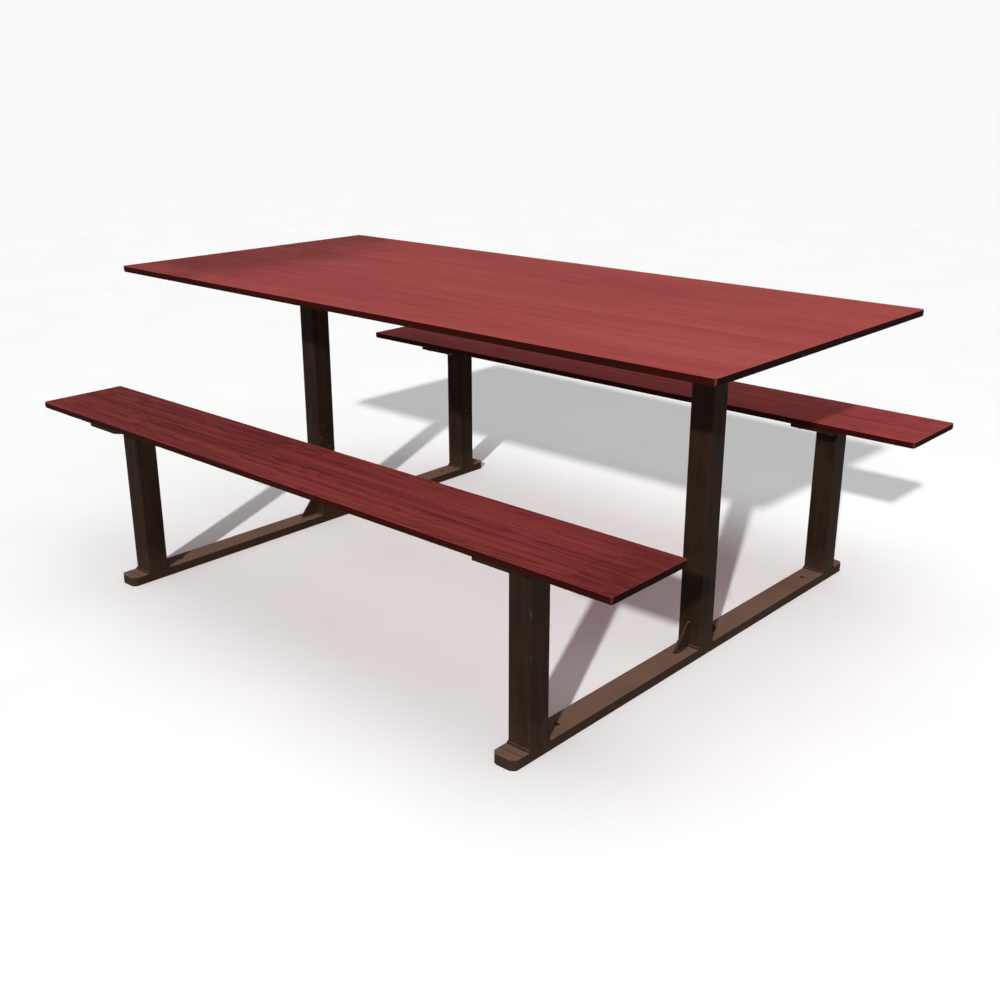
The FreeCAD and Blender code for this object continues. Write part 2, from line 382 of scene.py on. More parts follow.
def grain_group():
    """Timber grain along X: growth lines, soft streaks and short pores.

    Growth lines are the level lines of a smooth noise that is stretched along X, so that they run long
    and close into arches. Streaks and pores are finer noises, stretched more.
    """
    graph, given, leave = new_group(
        "Timber grain",
        [("Position", "Vector", None), ("Figure", "Float", 14.0)],
        [("Line", "Float"), ("Streak", "Float"), ("Pore", "Float"), ("Height", "Float")],
    )
    where = given["Position"]
    figure = graph.noise(graph.stretch(where, (0.9, 9.0, 9.0)), 1.0, 2.0, 0.45, 0.15)
    wander = graph.noise(graph.stretch(where, (2.5, 120.0, 120.0)), 1.0, 3.0, 0.6)
    rings = graph.math("MULTIPLY", figure, given["Figure"])
    rings = graph.math("ADD", rings, graph.math("MULTIPLY", wander, 0.45))
    saw = graph.math("FRACT", rings)
    line = graph.remap(saw, 0.35, 0.97, 0.0, 1.0)
    line = graph.math("MULTIPLY", line, graph.remap(saw, 0.97, 1.0, 1.0, 0.0))
    streak = graph.noise(graph.stretch(where, (1.2, 95.0, 95.0)), 1.0, 5.0, 0.70, 0.1)
    fibre = graph.noise(graph.stretch(where, (4.0, 300.0, 300.0)), 1.0, 3.0, 0.6)
    pore = graph.remap(fibre, 0.53, 0.70)
    height = graph.math("MULTIPLY", pore, -0.6)
    height = graph.math("SUBTRACT", height, graph.math("MULTIPLY", line, 0.25))
    height = graph.math("ADD", height, graph.math("MULTIPLY", fibre, 0.35))
    graph.feed(leave.inputs["Line"], line)
    graph.feed(leave.inputs["Streak"], streak)
    graph.feed(leave.inputs["Pore"], pore)
    graph.feed(leave.inputs["Height"], height)
    return graph.tree


def edge_group():
    """Edges and corners: where a normal rounded over the radius turns away from the true one.

    The mask is one less the dot product of the two normals, stretched to full and broken by a noise.
    """
    graph, given, leave = new_group(
        "Edge mask",
        [("Position", "Vector", None), ("Radius", "Float", 0.0015), ("Breakup", "Float", 0.6)],
        [("Mask", "Float"), ("Normal", "Vector")],
    )
    rounded = graph.add("ShaderNodeBevel", {"Radius": given["Radius"]}, samples=4).outputs[0]
    true = graph.add("ShaderNodeNewGeometry").outputs["Normal"]
    dot = graph.add("ShaderNodeVectorMath", {0: rounded, 1: true}, operation="DOT_PRODUCT").outputs[1]
    turned = graph.remap(dot, 0.985, 0.80, 0.0, 1.0)
    patch = graph.noise(given["Position"], 38.0, 4.0, 0.65)
    patch = graph.remap(patch, 0.42, 0.62, 0.0, 1.0)
    kept = graph.mean(1.0, patch, given["Breakup"])
    graph.feed(leave.inputs["Mask"], graph.math("MULTIPLY", turned, kept))
    graph.feed(leave.inputs["Normal"], rounded)
    return graph.tree


def dust_and_sheen_group():
    """Dust and painted sheen on upward faces, dust splashes low down, thinned by a cloudy noise and a fine
    one.

    The splash fades out upwards, at a height that a blotchy noise moves up and down.
    """
    graph, given, leave = new_group(
        "Settled dust",
        [("Position", "Vector", None), ("Amount", "Float", 1.0), ("Splash", "Float", 0.0)],
        [("Mask", "Float"), ("Grit", "Float")],
    )
    normal = graph.add("ShaderNodeNewGeometry").outputs["Normal"]
    up = graph.add("ShaderNodeSeparateXYZ", {0: normal}).outputs["Z"]
    # Faces that look up: the dust here is partly a painted sheen.
    lying = graph.remap(up, 0.55, 0.97)
    cloud = graph.noise(given["Position"], 9.0, 4.0, 0.6)
    grit = graph.noise(given["Position"], 420.0, 2.0, 0.6)
    cover = graph.remap(cloud, 0.25, 0.70, 0.80, 1.0)
    fine = graph.remap(grit, 0.30, 0.70, 0.86, 1.0)
    mask = graph.math("MULTIPLY", graph.math("MULTIPLY", lying, cover), given["Amount"])
    height = graph.add("ShaderNodeSeparateXYZ", {0: given["Position"]}).outputs["Z"]
    blotch = graph.noise(given["Position"], 55.0, 5.0, 0.7)
    reach = graph.math("ADD", height, graph.math("MULTIPLY", graph.math("SUBTRACT", blotch, 0.5), 0.16))
    low = graph.math("MULTIPLY", graph.remap(reach, 0.11, 0.01), given["Splash"])
    mask = graph.math("MULTIPLY", graph.math("MAXIMUM", mask, low), fine, clamp=True)
    graph.feed(leave.inputs["Mask"], mask)
    graph.feed(leave.inputs["Grit"], grit)
    return graph.tree


GROUP_MAKERS = {
    "Glued staves": stave_group,
    "Timber grain": grain_group,
    "Edge mask": edge_group,
    "Settled dust": dust_and_sheen_group,
}


def place_group(graph, name, **inputs):
    """Places a shared group in a material, building it the first time, and gives its outputs."""
    tree = bpy.data.node_groups.get(name) or GROUP_MAKERS[name]()
    node = graph.add("ShaderNodeGroup", node_tree=tree)
    for title, value in inputs.items():
        graph.feed(node.inputs[title], value)
    return node.outputs


def rgba(colour):
    """A colour with full alpha."""
    return (colour[0], colour[1], colour[2], 1.0)


def new_material(name):
    """A material with one Principled shader: the material, its graph, its shader and Object coordinates."""
    material = bpy.data.materials.new(name)
    material.use_nodes = True
    material.node_tree.nodes.clear()
    graph = Graph(material.node_tree)
    where = graph.add("ShaderNodeTexCoord").outputs["Object"]
    shader = graph.add("ShaderNodeBsdfPrincipled")
    leave = graph.add("ShaderNodeOutputMaterial")
    graph.feed(leave.inputs["Surface"], shader.outputs[0])
    return material, graph, shader, where


def finish_shader(graph, shader, colour, roughness, bump, specular=0.5):
    """Feeds a shader its colour and roughness, a bump made from the given inputs and a constant glint."""
    graph.feed(shader.inputs["Base Color"], colour)
    graph.feed(shader.inputs["Roughness"], roughness)
    graph.feed(shader.inputs["Normal"], graph.add("ShaderNodeBump", bump).outputs[0])
    shader.inputs["Specular IOR Level"].default_value = specular


# Materials

def stained_timber(name, light, dark, timber, figure, contrast, dark_end, slide, seed):
    """Stained, sealed glued timber: staves on the faces, painted shade on the edges, painted highlights on
    rim and corners.

    Figure sets how close the growth lines lie, contrast how strong they and the other tones are. The
    colour darkens towards the right end where dark_end is 1, towards the left end where it is -1. The
    broad clouds of tone are moved along the panel by slide, in metres.
    """
    material, graph, shader, where = new_material(name)
    staves = place_group(
        graph, "Glued staves", Position=where,
        Width=timber.stave_width, Length=timber.stave_length, Seed=float(seed),
    )
    grain = place_group(graph, "Timber grain", Position=staves["Timber"], Figure=figure)
    moved = graph.vector("ADD", where, (slide, 0.0, 0.0))
    broad = graph.noise(graph.stretch(moved, (1.1, 6.5, 1.0)), 1.0, 4.0, 0.55, 0.3)
    band = graph.noise(graph.stretch(where, (0.7, 17.0, 17.0)), 1.0, 3.0, 0.55)

    shares = (
        (staves["Tone"], 0.5, 0.16 * contrast),
        (grain["Streak"], 0.5, 1.1 + 1.1 * contrast),
        (broad, 0.5, 0.60 + 0.40 * contrast),
        (grain["Line"], 0.0, -0.30 * contrast),
        (grain["Pore"], 0.0, -0.48 * contrast),
        (staves["Joint"], 0.0, -0.16),
    )
    tone = 0.66 + 0.13 * contrast
    for value, middle, share in shares:
        tone = graph.math("ADD", tone, graph.math("MULTIPLY", graph.math("SUBTRACT", value, middle), share))
    face = graph.blend(rgba(dark), rgba(light), tone)
    warm = graph.math("MULTIPLY", graph.remap(band, 0.46, 0.60), 0.6)
    face = graph.blend(face, (1.06, 1.22, 1.02, 1.0), warm, "MULTIPLY")
    # Darker towards one end of the panel, by a share that a cloudy noise moves along.
    along = graph.add("ShaderNodeSeparateXYZ", {0: where}).outputs["X"]
    cloud = graph.noise(moved, 4.5, 5.0, 0.62, 0.3)
    along = graph.math("MULTIPLY", along, dark_end)
    along = graph.math("ADD", along, graph.math("MULTIPLY", graph.math("SUBTRACT", cloud, 0.5), 0.9))
    deep = graph.remap(along, 0.45, 0.90, 1.0, 1.0 - timber.end_darker)
    face = graph.vector("SCALE", face, scale=deep)

    # Painted shade: upright edges take the dark side colour, darkest where they face along X; faces that
    # look up or down keep the stave colours.
    normal = graph.add("ShaderNodeNewGeometry").outputs["Normal"]
    axes = graph.add("ShaderNodeSeparateXYZ", {0: normal}).outputs
    below = graph.remap(axes["Z"], -0.96, -0.995)
    ended = graph.remap(graph.math("ABSOLUTE", axes["X"]), 0.5, 0.95)
    painted_side_shade = graph.blend(rgba(timber.side_painted_shade), rgba(timber.end_grain), ended)
    speckle = graph.remap(grain["Streak"], 0.30, 0.70, 0.60, 1.30)
    painted_side_shade = graph.vector("SCALE", painted_side_shade, scale=speckle)
    on_face = graph.math("MAXIMUM", graph.remap(axes["Z"], 0.30, 0.72), below)
    colour = graph.blend(painted_side_shade, face, on_face)
    # Painted highlight: the eased top rim and the upright corners are lifted towards the pale stain.
    rim_highlight = graph.math("MULTIPLY", graph.remap(axes["Z"], 0.45, 0.80), graph.remap(axes["Z"], 0.995, 0.93))
    rim_highlight = graph.math("MULTIPLY", rim_highlight, graph.remap(graph.noise(where, 24.0, 3.0), 0.35, 0.65, 0.0, 0.30))
    corner = graph.math("ABSOLUTE", graph.math("MULTIPLY", axes["X"], axes["Y"]))
    corner = graph.remap(corner, 0.34, 0.50, 0.0, 0.24)
    colour = graph.blend(colour, rgba(light), graph.math("MAXIMUM", rim_highlight, corner))

    rough = graph.math("MULTIPLY_ADD", grain["Streak"], 0.22, 0.42)
    rough = graph.math("ADD", rough, graph.math("MULTIPLY", grain["Pore"], 0.18))
    rough = graph.mean(0.80, rough, on_face)
    bump = {"Strength": 0.30, "Distance": 0.0006, "Height": grain["Height"]}
    finish_shader(graph, shader, colour, rough, bump, specular=0.045)
    return material


def painted_steel(name, steel, dust, splash, roughness):
    """Dark brown paint with orange peel, rubbed edges, a few chips, painted highlights and dust with a
    painted sheen.

    Dust with its painted sheen and splash are shares of full cover on faces that look up and low on upright
    faces.
    """
    material, graph, shader, where = new_material(name)
    edges = place_group(graph, "Edge mask", Position=where, Radius=0.0016, Breakup=0.65)
    dust_and_sheen_cover = place_group(graph, "Settled dust", Position=where, Amount=dust, Splash=splash)
    mottle = graph.noise(where, 14.0, 5.0, 0.62, 0.4)
    smear = graph.noise(graph.stretch(where, (60.0, 60.0, 5.0)), 1.0, 3.0, 0.55)
    tone = graph.math("MULTIPLY", graph.math("ADD", mottle, smear), 0.5)
    tone = graph.remap(tone, 0.34, 0.66, 0.62, 1.42, smooth=False)
    paint = graph.vector("SCALE", tuple(steel.paint), scale=tone)
    chips = graph.add("ShaderNodeTexVoronoi", {"Vector": where, "Scale": 34.0}, feature="F1").outputs[0]
    rare = graph.remap(graph.noise(where, 9.0, 1.0), 0.62, 0.67)
    chips = graph.math("MULTIPLY", graph.remap(chips, 0.080, 0.050), rare)
    normal = graph.add("ShaderNodeNewGeometry").outputs["Normal"]
    axes = graph.add("ShaderNodeSeparateXYZ", {0: normal}).outputs
    # Painted highlight: a pale line along the upright corners, broken up by a noise.
    arris_highlight = graph.math("ABSOLUTE", graph.math("MULTIPLY", axes["X"], axes["Y"]))
    highlight_breakup = graph.noise(graph.stretch(where, (7.0, 7.0, 5.0)), 1.0, 4.0, 0.7)
    arris_highlight = graph.math("MULTIPLY", graph.remap(arris_highlight, 0.36, 0.48), graph.remap(highlight_breakup, 0.62, 0.75, 0.0, 0.50))
    # Edges: rubbed paint and, in part, a painted highlight.
    colour = graph.blend(paint, rgba(steel.paint_worn_and_highlight), graph.math("MULTIPLY", edges["Mask"], 0.55))
    # Dust and painted sheen on faces that look up, dust alone in the low splash.
    colour = graph.blend(colour, rgba(steel.dust), dust_and_sheen_cover["Mask"])
    colour = graph.blend(colour, rgba(steel.chip_and_highlight), graph.math("MAXIMUM", arris_highlight, chips))

    rough = graph.remap(mottle, 0.30, 0.70, roughness, roughness + 0.16, smooth=False)
    rough = graph.mean(rough, 0.86, dust_and_sheen_cover["Mask"])
    peel = graph.noise(where, 650.0, 2.0, 0.5)
    height = graph.math("ADD", peel, graph.math("MULTIPLY", dust_and_sheen_cover["Grit"], 0.3))
    height = graph.math("SUBTRACT", height, graph.math("MULTIPLY", chips, 1.2))
    bump = {"Strength": 0.22, "Distance": 0.0004, "Height": height, "Normal": edges["Normal"]}
    finish_shader(graph, shader, colour, rough, bump, specular=0.05)
    return material


def plated_metal(name, colour, roughness):
    """Plated or bare turned metal: fine brushing, faint tarnish and bright rubbed edges."""
    material, graph, shader, where = new_material(name)
    edges = place_group(graph, "Edge mask", Position=where, Radius=0.0006, Breakup=0.3)
    tarnish = graph.noise(where, 160.0, 4.0, 0.6)
    brushed = graph.noise(graph.stretch(where, (900.0, 900.0, 120.0)), 1.0, 2.0)
    shade = [0.62 * c for c in colour]
    base = graph.blend(rgba(shade), rgba(colour), graph.remap(tarnish, 0.35, 0.62))
    bright = [min(1.0, 1.25 * c) for c in colour]
    base = graph.blend(base, rgba(bright), graph.math("MULTIPLY", edges["Mask"], 0.7))
    rough = graph.remap(tarnish, 0.3, 0.7, roughness + 0.12, roughness - 0.05, smooth=False)
    bump = {"Strength": 0.15, "Distance": 0.0002, "Height": brushed, "Normal": edges["Normal"]}
    finish_shader(graph, shader, base, rough, bump)
    shader.inputs["Metallic"].default_value = 1.0
    return material


def dress(node, material):
    """Gives every slot of a packed node one material."""
    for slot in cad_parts[node].material_slots:
        slot.material = material


def studio_floor_material(colour):
    """Pale matt floor with a barely visible mottle."""
    material, graph, shader, where = new_material("Studio floor")
    cloud = graph.noise(where, 2.5, 4.0, 0.55)
    shade = [0.985 * c for c in colour]
    base = graph.blend(rgba(shade), rgba(colour), graph.remap(cloud, 0.35, 0.65))
    graph.feed(shader.inputs["Base Color"], base)
    graph.feed(shader.inputs["Roughness"], graph.remap(cloud, 0.3, 0.7, 0.80, 0.92))
    shader.inputs["Specular IOR Level"].default_value = 0.15
    return material


# Surfaces

def outward(points, faces):
    """Turns all faces round if the volume they enclose comes out negative."""
    first = points[faces[:, 0]]
    second = points[faces[:, 1]]
    third = points[faces[:, 2]]
    volume = np.einsum("ij,ij->i", first, np.cross(second, third)).sum()
    return faces[:, ::-1] if volume < 0 else faces


def swept_faces(rows, columns, ring):
    """Triangles of a sweep whose sections are closed.

    Each cell of the grid is two triangles. A ring joins its last section to its first; an open sweep is
    closed by a fan over each end, round one more point that follows the grid's points.
    """
    row = np.arange(rows if ring else rows - 1)[:, None]
    column = np.arange(columns)[None, :]
    beside = (column + 1) % columns
    after = (row + 1) % rows
    a = row * columns + column
    b = row * columns + beside
    c = after * columns + beside
    d = after * columns + column
    faces = np.concatenate([np.stack([a, b, c], -1).reshape(-1, 3), np.stack([a, c, d], -1).reshape(-1, 3)])
    if ring:
        return faces
    turn = np.arange(columns)
    last = (rows - 1) * columns
    start = np.stack([np.full(columns, rows * columns), (turn + 1) % columns, turn], -1)
    stop = np.stack([np.full(columns, rows * columns + 1), last + turn, last + (turn + 1) % columns], -1)
    return np.concatenate([faces, start, stop])


def sweep(path, across, rise, section, scale, ring):
    """A section carried along a path.

    A point is the path's point, plus the across vector times the section's first coordinate, plus the
    rise vector times its second, both times the scale there. Gives the points and outward faces.
    """
    u = section[..., 0] * scale
    v = section[..., 1] * scale
    grid = path[:, None, :] + across[:, None, :] * u[..., None] + rise[:, None, :] * v[..., None]
    points = grid.reshape(-1, 3)
    if not ring:
        points = np.concatenate([points, grid[0].mean(axis=0)[None], grid[-1].mean(axis=0)[None]])
    faces = swept_faces(grid.shape[0], grid.shape[1], ring)
    return points, outward(points, faces)


def fillet_section(distance, welds, rng):
    """The cross-section of a fillet bead at each distance along it, in units of its legs.

    The face of the bead is a straight line from toe to toe plus a half sine that swells it. The swell
    follows the ripples: each rises fast and dies slowly, and its front bows forward in the middle.
    The back of the section is three points sunk into the two plates.
    """
    turn = np.linspace(0, 1, 9)
    bow = 0.45 * np.sin(np.pi * turn)
    phase = distance[:, None] / welds.ripple_pitch - bow[None, :]
    ripple = np.sin(np.pi * np.mod(phase, 1) ** 0.6)
    waves = rng.uniform(0, 2 * np.pi, 3)
    wander = sum(np.sin(distance * rate + start) for rate, start in zip((95.0, 210.0, 330.0), waves)) / 3
    swell = (0.14 + welds.ripple_depth * (ripple - 0.4) + 0.03 * wander[:, None]) * np.sin(np.pi * turn)
    leg = 1 + 0.07 * wander[:, None]
    u = (1 - turn) * leg + swell
    v = turn * leg + swell
    ones = np.ones((len(distance), 1))
    back_u = np.array([[-0.25, -0.25, 0.55]]) * ones
    back_v = np.array([[0.55, -0.25, -0.25]]) * ones
    return np.stack([np.concatenate([u, back_u], 1), np.concatenate([v, back_v], 1)], -1)


def butt_section(distance, welds):
    """The cross-section of a low bead over a butt joint: half an ellipse with ripples, flat behind."""
    turn = np.linspace(0, np.pi, 11)
    bow = 0.5 * np.sin(turn)
    phase = distance[:, None] / welds.ripple_pitch - bow[None, :]
    ripple = np.sin(np.pi * np.mod(phase, 1) ** 0.6)
    u = np.cos(turn)[None, :] * np.ones((len(distance), 1))
    v = np.sin(turn)[None, :] * (1 + 1.5 * welds.ripple_depth * (ripple - 0.5))
    back = np.ones((len(distance), 1))
    u = np.concatenate([u, -0.6 * back, 0.6 * back], 1)
    v = np.concatenate([v, -0.8 * back, -0.8 * back], 1)
    return np.stack([u, v], -1)


def tapered(distance, reach):
    """A scale that swells from a point at both ends over the reach, as a quarter of a circle does."""
    end = np.minimum(distance, distance[-1] - distance)
    short = np.clip(1 - end / reach, 0, 1)
    return np.maximum(np.sqrt(1 - short**2), 0.04)[:, None]


def build(name, parts, material):
    """One smooth object from several shells, riding on the frame in the paint's slot."""
    offsets = np.cumsum([0] + [len(points) for points, _ in parts[:-1]])
    points = np.concatenate([points for points, _ in parts])
    faces = np.concatenate([faces + start for (_, faces), start in zip(parts, offsets)])
    mesh = bpy.data.meshes.new(name)
    mesh.vertices.add(len(points))
    mesh.vertices.foreach_set("co", points.ravel())
    mesh.loops.add(faces.size)
    mesh.loops.foreach_set("vertex_index", faces.ravel())
    mesh.polygons.add(len(faces))
    mesh.polygons.foreach_set("loop_start", np.arange(0, faces.size, 3))
    mesh.polygons.foreach_set("use_smooth", np.ones(len(faces), bool))
    mesh.update(calc_edges=True)
    mesh.validate()
    mesh.materials.append(material)
    piece = bpy.data.objects.new(name, mesh)
    bpy.context.scene.collection.objects.link(piece)
    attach(piece, ROOT)
    return piece


def round_square(low, high, spacing):
    """Points round a post's outline and the directions that point out of it.

    The distance along the outline is split into four like quarters, each a straight side and then a
    quarter circle, and each turned a right angle further than the last.
    """
    centre = (np.array(low[:2]) + np.array(high[:2])) / 2
    half = (high[0] - low[0]) / 2
    inner = half - POST_CORNER
    side = 2 * inner
    quarter = side + math.pi / 2 * POST_CORNER
    count = 4 * int(quarter / spacing)
    distance = np.linspace(0, 4 * quarter, count, endpoint=False)
    index = np.floor(distance / quarter)
    local = distance - index * quarter
    angle = np.clip((local - side) / POST_CORNER, 0, None)
    x = inner + POST_CORNER * np.cos(angle)
    y = -inner + np.minimum(local, side) + POST_CORNER * np.sin(angle)
    turn = index * math.pi / 2
    place = np.stack([x * np.cos(turn) - y * np.sin(turn), x * np.sin(turn) + y * np.cos(turn)], -1)
    out = np.stack([np.cos(angle + turn), np.sin(angle + turn)], -1)
    return distance, place + centre, out


def level(points, height):
    """Flat points lifted to one height."""
    return np.concatenate([points, np.full((len(points), 1), height)], 1)


def post_foot_bead(post, welds, rng):
    """A bead round a post's foot.

    Along the rail it is a full fillet. On the two sides where the rail is hardly wider than the post,
    its lower leg shortens and drops over the rail's rounded edge.
    """
    low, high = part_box(post)
    rail_low, rail_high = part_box("ground_rail_" + ("left" if high[0] < 0 else "right"))
    ledge = rail_high[0] - high[0]
    distance, place, out = round_square(low, high, welds.ripple_pitch / STEPS_PER_RIPPLE)
    beside = np.abs(out[:, :1]) ** 3
    lower = welds.leg + (ledge - welds.leg) * beside
    across = np.concatenate([out * lower, -0.5 * RAIL_CORNER * beside], 1)
    rise = np.tile([0, 0, welds.leg], (len(out), 1))
    section = fillet_section(distance, welds, rng)
    return sweep(level(place, low[2]), across, rise, section, np.ones((len(out), 1)), True)


def post_head_bead(post, welds, rng):
    """A bead round a post's head, against the underside of its plate."""
    low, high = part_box(post)
    distance, place, out = round_square(low, high, welds.ripple_pitch / STEPS_PER_RIPPLE)
    across = level(out * welds.leg, 0)
    rise = np.tile([0, 0, -welds.leg], (len(out), 1))
    section = fillet_section(distance, welds, rng)
    return sweep(level(place, high[2]), across, rise, section, np.ones((len(out), 1)), True)


def straight_bead(start, stop, across, rise, leg, welds, rng):
    """A fillet bead on a straight line with tapered ends."""
    start = np.array(start, float)
    run = np.array(stop, float) - start
    length = np.linalg.norm(run)
    distance = np.linspace(0, length, int(STEPS_PER_RIPPLE * length / welds.ripple_pitch))
    path = start + run * (distance / length)[:, None]
    ones = np.ones((len(distance), 1))
    section = fillet_section(distance, welds, rng)
    return sweep(path, across * leg * ones, rise * leg * ones, section, tapered(distance, 2 * leg), False)


def gusset_beads(gusset, welds, rng):
    """Four beads of one gusset: along the post and along the rail or plate, on both of its faces."""
    low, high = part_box(gusset)
    end = 1 if low[1] > 0 else -1
    hangs = gusset.startswith("top")
    near = low[1] if end > 0 else high[1]
    far = high[1] if end > 0 else low[1]
    base = high[2] if hangs else low[2]
    tip = low[2] if hangs else high[2]
    up = -1 if hangs else 1
    leg = welds.gusset_leg
    reach_y = near + end * (GUSSET_COPE + leg)
    reach_z = base + up * (GUSSET_COPE + leg)
    parts = []
    for x, side in ((low[0], -1), (high[0], 1)):
        away = np.array([[side, 0, 0]])
        along_post = ((x, near, reach_z), (x, near, tip - up * leg))
        along_base = ((x, reach_y, base), (x, far - end * leg, base))
        parts.append(straight_bead(*along_post, away, np.array([[0, end, 0]]), leg, welds, rng))
        parts.append(straight_bead(*along_base, away, np.array([[0, 0, up]]), leg, welds, rng))
    return parts


def rail_seam(rail_end, welds):
    """A low bead over the joint of a rail and its solid end: up one side, over the top and down."""
    low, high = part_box(rail_end)
    rail_low, rail_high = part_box(rail_end.replace("rail_end", "ground_rail").rsplit("_", 1)[0])
    joint = rail_high[1] if low[1] > 0 else rail_low[1]
    half = (rail_high[0] - rail_low[0]) / 2
    centre = (rail_high[0] + rail_low[0]) / 2
    corner = RAIL_CORNER
    lift = rail_high[2] - corner
    foot = RAIL_CORNER
    side = lift - foot
    arc = math.pi / 2 * corner
    top = 2 * (half - corner)
    total = 2 * side + 2 * arc + top
    distance = np.linspace(0, total, int(STEPS_PER_RIPPLE * total / welds.ripple_pitch))
    first = np.clip((distance - side) / corner, 0, math.pi / 2)
    second = np.clip((distance - side - arc - top) / corner, 0, math.pi / 2)
    angle = math.pi - first - second
    run = np.clip(distance - side - arc, 0, top)
    climb = np.minimum(distance, side) - np.clip(distance - side - 2 * arc - top, 0, side)
    x = centre - half + corner + run + corner * np.cos(angle)
    z = foot + climb + corner * np.sin(angle)
    path = np.stack([x, np.full_like(x, joint), z], -1)
    out = np.stack([np.cos(angle), np.zeros_like(angle), np.sin(angle)], -1)
    across = np.tile([0, SEAM_SHARE * welds.leg, 0], (len(x), 1))
    section = butt_section(distance, welds)
    return sweep(path, across, out * SEAM_HEIGHT, section, tapered(distance, 0.002), False)


def spatter(post, welds, rng):
    """Small drops of spatter on a post's four faces just above its foot bead.

    A drop is a dome: its radius times the sine and cosine of the polar angle, flattened by a third and
    sunk a little into the face.
    """
    low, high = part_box(post)
    centre = (np.array(low) + np.array(high)) / 2
    half = (high[0] - low[0]) / 2
    polar = np.linspace(0.12, 0.62 * np.pi, DROP_RINGS)
    around = np.linspace(0, 2 * np.pi, DROP_SIDES, endpoint=False)
    dome_u = np.sin(polar)[:, None] * np.cos(around)[None, :]
    dome_v = np.sin(polar)[:, None] * np.sin(around)[None, :]
    dome_w = 0.66 * np.cos(polar)[:, None] * np.ones(DROP_SIDES)[None, :]
    faces = swept_faces(DROP_RINGS, DROP_SIDES, False)
    parts = []
    for _ in range(welds.spatter_count):
        turn = rng.integers(0, 4) * math.pi / 2
        out = np.array([math.cos(turn), math.sin(turn), 0])
        along = np.array([-out[1], out[0], 0])
        radius = welds.spatter_radius * rng.uniform(0.35, 1.0)
        height = low[2] + welds.leg + SPATTER_START + SPATTER_REACH * rng.uniform(0, 1) ** 2
        middle = np.array([centre[0], centre[1], height]) + out * half
        middle = middle + along * rng.uniform(-0.8, 0.8) * half
        grid = (
            middle
            + along * (dome_u * radius)[..., None]
            + np.array([0, 0, 1]) * (dome_v * radius)[..., None]
            + out * (dome_w * radius)[..., None]
        )
        ends = [grid[0].mean(axis=0)[None], grid[-1].mean(axis=0)[None]]
        points = np.concatenate([grid.reshape(-1, 3)] + ends)
        parts.append((points, outward(points - middle, faces)))
    return parts


# Operators

class PICNIC_OT_timber(bpy.types.Operator):
    """Stain the tabletop and the two benches"""

    bl_idname = "picnic.timber"
    bl_label = "Stain the Panels"

    def execute(self, context):
        timber = context.scene.picnic_timber
        light, dark = timber.top_light, timber.top_dark
        top = stained_timber(
            "Tabletop timber", light, dark, timber,
            figure=16.0, contrast=0.5, dark_end=-1.0, slide=-2.1, seed=3,
        )
        light, dark = timber.bench_light, timber.bench_dark
        near = stained_timber(
            "Bench timber", light, dark, timber,
            figure=30.0, contrast=1.0, dark_end=0.75, slide=-0.7, seed=11,
        )
        # Painted light: the back bench takes a lighter copy of the bench colours, standing in for the
        # brighter light on it.
        light, dark = ([timber.back_painted_lighter * c for c in colour] for colour in (light, dark))
        far = stained_timber(
            "Painted lighter bench timber", light, dark, timber,
            figure=30.0, contrast=0.7, dark_end=0.0, slide=0.35, seed=5,
        )
        dress("tabletop", top)
        dress("bench_front", near)
        dress("bench_back", far)
        return {"FINISHED"}


class PICNIC_OT_steelwork(bpy.types.Operator):
    """Paint the rails, posts, plates and gussets"""

    bl_idname = "picnic.steelwork"
    bl_label = "Paint the Frames"

    def execute(self, context):
        steel = context.scene.picnic_steel
        paint = painted_steel("Frame paint", steel, dust=1.0, splash=0.08, roughness=0.58)
        for node in STEELWORK:
            dress(node, paint)
        return {"FINISHED"}


class PICNIC_OT_fastenings(bpy.types.Operator):
    """Plate the bolts, washers and sleeves, and turn the inserts in brass"""

    bl_idname = "picnic.fastenings"
    bl_label = "Finish the Fastenings"

    def execute(self, context):
        steel = context.scene.picnic_steel
        zinc = plated_metal("Zinc plating", steel.zinc, roughness=0.34)
        brass = plated_metal("Insert brass", steel.brass, roughness=0.28)
        dress("anchor_sleeves", zinc)
        for panel in PANELS:
            dress(panel + "_bolts", zinc)
            dress(panel + "_washers", zinc)
            dress(panel + "_inserts", brass)
        return {"FINISHED"}


def weld_paint():
    """The paint of the beads, with less dust and painted sheen than the flat faces hold."""
    known = bpy.data.materials.get("Weld paint")
    steel = bpy.context.scene.picnic_steel
    return known or painted_steel("Weld paint", steel, dust=0.45, splash=0.06, roughness=0.48)


class PICNIC_OT_post_beads(bpy.types.Operator):
    """Weld each post to its rail and to its plate"""

    bl_idname = "picnic.post_beads"
    bl_label = "Weld the Posts"

    def execute(self, context):
        welds = context.scene.picnic_welds
        rng = np.random.default_rng(welds.seed)
        for post in POSTS:
            build("foot_bead_" + post, [post_foot_bead(post, welds, rng)], weld_paint())
            build("head_bead_" + post, [post_head_bead(post, welds, rng)], weld_paint())
        return {"FINISHED"}


class PICNIC_OT_gusset_beads(bpy.types.Operator):
    """Weld the gussets along the posts, the rails and the plates"""

    bl_idname = "picnic.gusset_beads"
    bl_label = "Weld the Gussets"

    def execute(self, context):
        welds = context.scene.picnic_welds
        rng = np.random.default_rng(welds.seed + 1)
        for gusset in FOOT_GUSSETS + TOP_GUSSETS:
            build("beads_" + gusset, gusset_beads(gusset, welds, rng), weld_paint())
        return {"FINISHED"}


class PICNIC_OT_rail_seams(bpy.types.Operator):
    """Weld the solid ends to the rails"""

    bl_idname = "picnic.rail_seams"
    bl_label = "Weld the Rail Ends"

    def execute(self, context):
        welds = context.scene.picnic_welds
        for rail_end in RAIL_ENDS:
            build("seam_" + rail_end, [rail_seam(rail_end, welds)], weld_paint())
        return {"FINISHED"}


